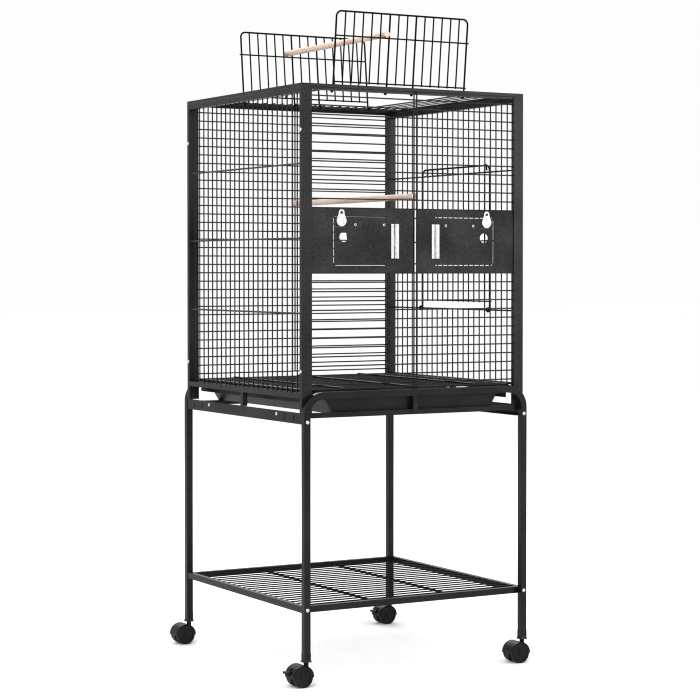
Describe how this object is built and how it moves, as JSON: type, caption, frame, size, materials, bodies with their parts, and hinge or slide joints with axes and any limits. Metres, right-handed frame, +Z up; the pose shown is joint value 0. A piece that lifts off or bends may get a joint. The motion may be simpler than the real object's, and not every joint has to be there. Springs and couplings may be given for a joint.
{
  "type": "bird cage on stand",
  "caption": "Square wire bird cage with open play top, feeder doors and a slide-out tray, on a tubular stand with a lower shelf and casters.",
  "frame": {"origin": "on the floor, under the middle of the square cage", "axes": "+Z up, -Y to the front with the feeder doors, +X to the side with the wire door"},
  "size_m": [0.5046, 0.506, 1.1738],
  "materials": {
    "frame_coat": "dark, fine textured powder coat",
    "wire_coat": "dark powder coat on wire",
    "tray_coat": "dark smooth coat on sheet",
    "bright_steel": "bright zinc-plated steel",
    "perch_wood": "plain light wood, sanded",
    "cup_plastic": "dark moulded plastic",
    "caster_plastic": "black moulded plastic",
    "wheel_plastic": "black moulded nylon"
  },
  "bodies": {
    "frame": {"front_leg_arch": "frame_coat", "front_lower_rail": "frame_coat", "front_panel": "frame_coat", "front_plate_left": "frame_coat", "front_plate_right": "frame_coat", "hinge_pins": "bright_steel", "hinge_plate_leaf_left": "bright_steel", "hinge_plate_leaf_right": "bright_steel", "inner_perch": "perch_wood", "latch_rivets": "bright_steel", "left_lower_rail": "frame_coat", "left_side_panel": "frame_coat", "leg_sockets": "frame_coat", "middle_struts": "frame_coat", "panel_bolts": "bright_steel", "rear_leg_arch": "frame_coat", "rear_lower_rail": "frame_coat", "rear_panel": "frame_coat", "right_lower_rail": "frame_coat", "right_side_panel": "frame_coat", "shelf_frame": "frame_coat", "shelf_wires": "wire_coat", "stand_bolts": "bright_steel", "top_panel": "frame_coat"},
    "feeder_door_left": {"feeder_door_left": "frame_coat", "hinge_door_leaf_left": "bright_steel", "cup_screws_left": "bright_steel", "cup_holder_left": "wire_coat"},
    "feeder_door_right": {"feeder_door_right": "frame_coat", "hinge_door_leaf_right": "bright_steel", "cup_screws_right": "bright_steel", "cup_holder_right": "wire_coat"},
    "cup_left": {"feed_cup_left": "cup_plastic"},
    "cup_right": {"feed_cup_right": "cup_plastic"},
    "latch_left": {"feeder_latch_left": "bright_steel"},
    "latch_right": {"feeder_latch_right": "bright_steel"},
    "side_door": {"side_door": "wire_coat"},
    "side_door_hook": {"side_door_hook": "wire_coat"},
    "top_flap_front": {"top_flap_frame_front": "wire_coat", "top_flap_wires_front": "wire_coat"},
    "top_flap_rear": {"top_flap_frame_rear": "wire_coat", "top_flap_wires_rear": "wire_coat"},
    "top_perch": {"top_perch": "perch_wood"},
    "floor_grate": {"floor_grate": "wire_coat"},
    "tray": {"tray": "tray_coat"},
    "caster_front_left": {"caster_hood_front_left": "caster_plastic", "caster_axle_front_left": "bright_steel"},
    "wheels_front_left": {"caster_wheels_front_left": "wheel_plastic"},
    "caster_front_right": {"caster_hood_front_right": "caster_plastic", "caster_axle_front_right": "bright_steel"},
    "wheels_front_right": {"caster_wheels_front_right": "wheel_plastic"},
    "caster_rear_left": {"caster_hood_rear_left": "caster_plastic", "caster_axle_rear_left": "bright_steel"},
    "wheels_rear_left": {"caster_wheels_rear_left": "wheel_plastic"},
    "caster_rear_right": {"caster_hood_rear_right": "caster_plastic", "caster_axle_rear_right": "bright_steel"},
    "wheels_rear_right": {"caster_wheels_rear_right": "wheel_plastic"},
    "brake_front_left": {"caster_brake_front_left": "caster_plastic"},
    "brake_rear_right": {"caster_brake_rear_right": "caster_plastic"}
  },
  "joints": [
    {"name": "feeder_door_left_hinge", "type": "hinge", "parent": "frame", "child": "feeder_door_left", "pos_m": [-0.0422, -0.2297, 0.7674], "axis": [0, 0, 1], "range_deg": [0, 110]},
    {"name": "feeder_door_right_hinge", "type": "hinge", "parent": "frame", "child": "feeder_door_right", "pos_m": [0.0422, -0.2297, 0.7674], "axis": [0, 0, -1], "range_deg": [0, 110]},
    {"name": "cup_left_lift", "type": "slide", "parent": "feeder_door_left", "child": "cup_left", "axis": [0, 0, 1], "range_m": [0, 0.06]},
    {"name": "cup_right_lift", "type": "slide", "parent": "feeder_door_right", "child": "cup_right", "axis": [0, 0, 1], "range_m": [0, 0.06]},
    {"name": "latch_left_turn", "type": "hinge", "parent": "frame", "child": "latch_left", "pos_m": [-0.151, -0.2291, 0.8166], "axis": [0, -1, 0], "range_deg": [-95, 95]},
    {"name": "latch_right_turn", "type": "hinge", "parent": "frame", "child": "latch_right", "pos_m": [0.151, -0.2291, 0.8166], "axis": [0, -1, 0], "range_deg": [-95, 95]},
    {"name": "side_door_hinge", "type": "hinge", "parent": "frame", "child": "side_door", "pos_m": [0.2276, 0, 0.6418], "axis": [0, 1, 0], "range_deg": [0, 150]},
    {"name": "side_door_hook_turn", "type": "hinge", "parent": "side_door", "child": "side_door_hook", "pos_m": [0.231, -0.1048, 0.9135], "axis": [0, -1, 0], "range_deg": [0, 40]},
    {"name": "top_flap_front_hinge", "type": "hinge", "parent": "frame", "child": "top_flap_front", "pos_m": [0, -0.17, 1.0344], "axis": [-1, 0, 0], "range_deg": [0, 95.5]},
    {"name": "top_flap_rear_hinge", "type": "hinge", "parent": "frame", "child": "top_flap_rear", "pos_m": [0, 0.17, 1.0344], "axis": [1, 0, 0], "range_deg": [0, 95.5]},
    {"name": "top_perch_draw", "type": "slide", "parent": "frame", "child": "top_perch", "axis": [0, -0.9996, 0.0288], "range_m": [0, 1.01]},
    {"name": "floor_grate_slide", "type": "slide", "parent": "frame", "child": "floor_grate", "axis": [0, 1, 0], "range_m": [0, 0.42]},
    {"name": "tray_slide", "type": "slide", "parent": "frame", "child": "tray", "axis": [0, 1, 0], "range_m": [0, 0.42]},
    {"name": "swivel_front_left", "type": "hinge", "parent": "frame", "child": "caster_front_left", "pos_m": [-0.225, -0.236, 0.048], "axis": [0, 0, 1], "continuous": true},
    {"name": "roll_front_left", "type": "hinge", "parent": "caster_front_left", "child": "wheels_front_left", "pos_m": [-0.238, -0.236, 0.018], "axis": [0, 1, 0], "continuous": true},
    {"name": "brake_press_front_left", "type": "hinge", "parent": "caster_front_left", "child": "brake_front_left", "pos_m": [-0.2475, -0.236, 0.0265], "axis": [0, -1, 0], "range_deg": [0, 10]},
    {"name": "swivel_front_right", "type": "hinge", "parent": "frame", "child": "caster_front_right", "pos_m": [0.225, -0.236, 0.048], "axis": [0, 0, 1], "continuous": true},
    {"name": "roll_front_right", "type": "hinge", "parent": "caster_front_right", "child": "wheels_front_right", "pos_m": [0.212, -0.236, 0.018], "axis": [0, 1, 0], "continuous": true},
    {"name": "swivel_rear_left", "type": "hinge", "parent": "frame", "child": "caster_rear_left", "pos_m": [-0.225, 0.236, 0.048], "axis": [0, 0, 1], "continuous": true},
    {"name": "roll_rear_left", "type": "hinge", "parent": "caster_rear_left", "child": "wheels_rear_left", "pos_m": [-0.238, 0.236, 0.018], "axis": [0, 1, 0], "continuous": true},
    {"name": "swivel_rear_right", "type": "hinge", "parent": "frame", "child": "caster_rear_right", "pos_m": [0.225, 0.236, 0.048], "axis": [0, 0, 1], "continuous": true},
    {"name": "roll_rear_right", "type": "hinge", "parent": "caster_rear_right", "child": "wheels_rear_right", "pos_m": [0.212, 0.236, 0.018], "axis": [0, 1, 0], "continuous": true},
    {"name": "brake_press_rear_right", "type": "hinge", "parent": "caster_rear_right", "child": "brake_rear_right", "pos_m": [0.2025, 0.236, 0.0265], "axis": [0, -1, 0], "range_deg": [0, 10]}
  ],
  "couplings": [
    {"joint": "top_flap_rear_hinge", "follows": "top_flap_front_hinge", "ratio": 1},
    {"joint": "top_perch_draw", "follows": "top_flap_front_hinge", "m_per_rad": 0.6}
  ]
}
